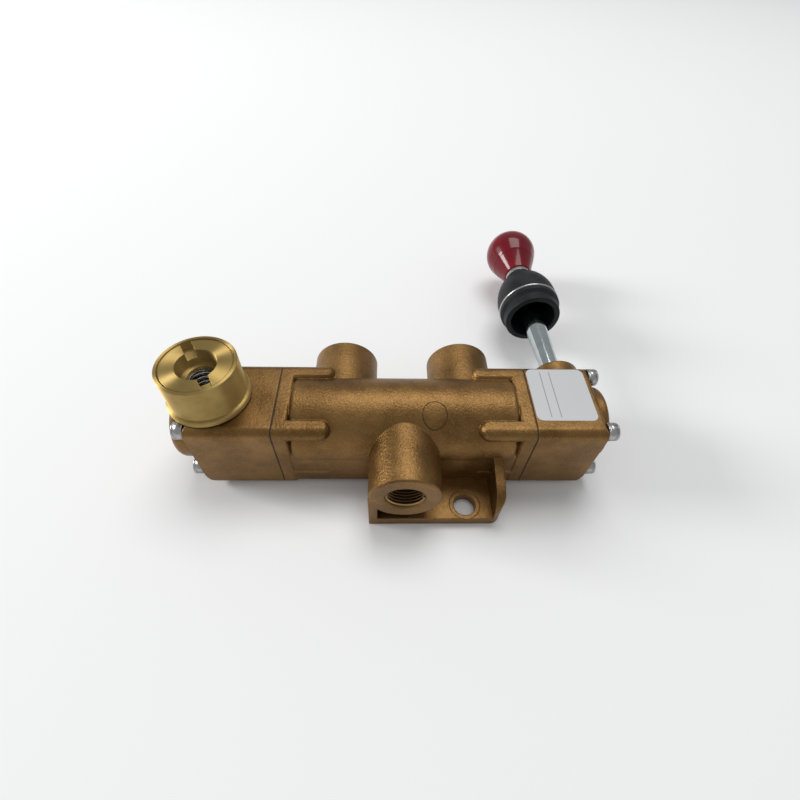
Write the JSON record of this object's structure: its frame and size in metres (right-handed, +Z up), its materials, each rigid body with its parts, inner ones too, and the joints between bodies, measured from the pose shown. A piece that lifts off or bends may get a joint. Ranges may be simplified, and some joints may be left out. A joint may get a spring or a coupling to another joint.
{
  "type": "hand lever air valve",
  "caption": "Cast bronze spool valve with front and rear threaded ports, a bolting foot, a hand lever with ball knob and rubber boot, and a spring friction adjuster.",
  "frame": {"origin": "on the foot face, midway along the cast body and below the spool axis", "axes": "+X towards the lever end along the spool, +Y towards the lever knob and the two rear ports, +Z up from the foot to the bonnet"},
  "size_m": [0.1993, 0.1972, 0.0632],
  "materials": {
    "cast_body": "sand cast, bronze coloured metallic coat",
    "cast_housing": "smooth cast, bronze coloured metallic coat",
    "turned_brass": "bright turned",
    "screw_steel": "zinc plated",
    "rod_steel": "bright plated",
    "spool_steel": "ground",
    "spring_steel": "spring wire",
    "red_knob": "glossy",
    "black_rubber": "satin",
    "seal_rubber": "matt",
    "gasket_sheet": "matt",
    "cage_brass": "turned",
    "white_label": "satin film"
  },
  "bodies": {
    "valve": {"main_body": "cast_body", "lever_end_gasket": "gasket_sheet", "friction_end_gasket": "gasket_sheet", "lever_housing": "cast_housing", "friction_housing": "cast_housing", "lever_end_screws": "screw_steel", "friction_end_screws": "screw_steel", "bonnet": "turned_brass", "bonnet_gasket": "gasket_sheet", "friction_spring": "spring_steel", "friction_shoe": "screw_steel", "spool_seals": "seal_rubber", "left_bore_bush": "cage_brass", "left_port_cage": "cage_brass", "centre_port_cage": "cage_brass", "right_port_cage": "cage_brass", "right_bore_bush": "cage_brass", "ball_seat": "cage_brass", "ball_retainer": "cage_brass", "blank_label": "white_label"},
    "spool": {"spool": "spool_steel"},
    "lever": {"lever_rod": "rod_steel", "pivot_ball": "spool_steel", "knob_ferrule": "screw_steel", "lever_knob": "red_knob"},
    "boot": {"lever_boot": "black_rubber", "boot_ring": "screw_steel"},
    "spring_seat": {"spring_seat": "screw_steel"},
    "adjusting_plug": {"adjusting_plug": "turned_brass"}
  },
  "joints": [
    {"name": "lever_tilt", "type": "hinge", "parent": "valve", "child": "lever", "pos_m": [0.0795, 0.022, 0.025], "axis": [0, 0, 1], "range_deg": [-13.7, 10.3]},
    {"name": "spool_slide", "type": "slide", "parent": "valve", "child": "spool", "axis": [1, 0, 0], "range_m": [-0.00527, 0.00397]},
    {"name": "boot_slide", "type": "slide", "parent": "lever", "child": "boot", "axis": [0.0297, -0.9996, 0], "range_m": [0, 0.038]},
    {"name": "plug_travel", "type": "slide", "parent": "valve", "child": "spring_seat", "axis": [0, 0, 1], "range_m": [-0.003, 0.0015], "deforming": ["friction_spring"]},
    {"name": "plug_turn", "type": "hinge", "parent": "spring_seat", "child": "adjusting_plug", "pos_m": [-0.086, 0.0003, 0.0583], "axis": [0, 0, 1], "range_deg": [-722, 361]}
  ],
  "couplings": [
    {"joint": "spool_slide", "follows": "lever_tilt", "m_per_rad": 0.022},
    {"joint": "plug_turn", "follows": "plug_travel", "rad_per_m": 4188.8}
  ]
}
